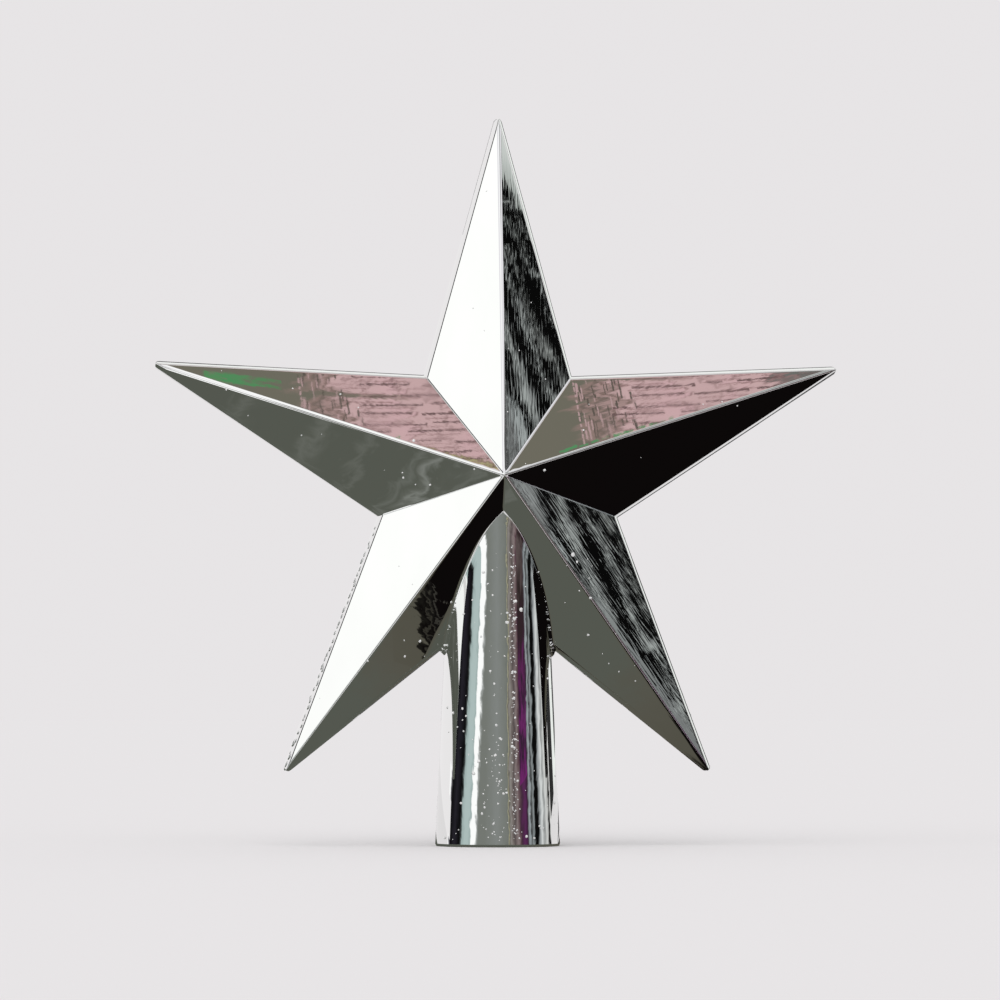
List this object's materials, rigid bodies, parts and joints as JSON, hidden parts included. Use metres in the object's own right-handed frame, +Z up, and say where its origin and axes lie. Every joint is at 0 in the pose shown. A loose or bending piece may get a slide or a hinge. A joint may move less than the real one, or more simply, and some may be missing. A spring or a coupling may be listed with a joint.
{
  "type": "tree topper star",
  "caption": "Hollow mirror-silver star tree topper with mitred facets on both faces, on a tapered socket that slips over the tree's top shoot.",
  "frame": {"origin": "centre of the socket's mouth, on the plane of the ring that the topper stands on", "axes": "+Z up along the socket's axis, -Y out of the front face of the star, +X to the right of someone who faces the star"},
  "size_m": [0.1882, 0.034, 0.1996],
  "materials": {
    "silver_plating": "vacuum-metallised mirror silver on moulded polystyrene, with flow lines and small pimples",
    "clear_cement": "set solvent cement, slightly yellow"
  },
  "bodies": {
    "root": {"front_shell": "silver_plating", "rear_shell": "silver_plating", "seam_cement": "clear_cement"}
  },
  "joints": []
}
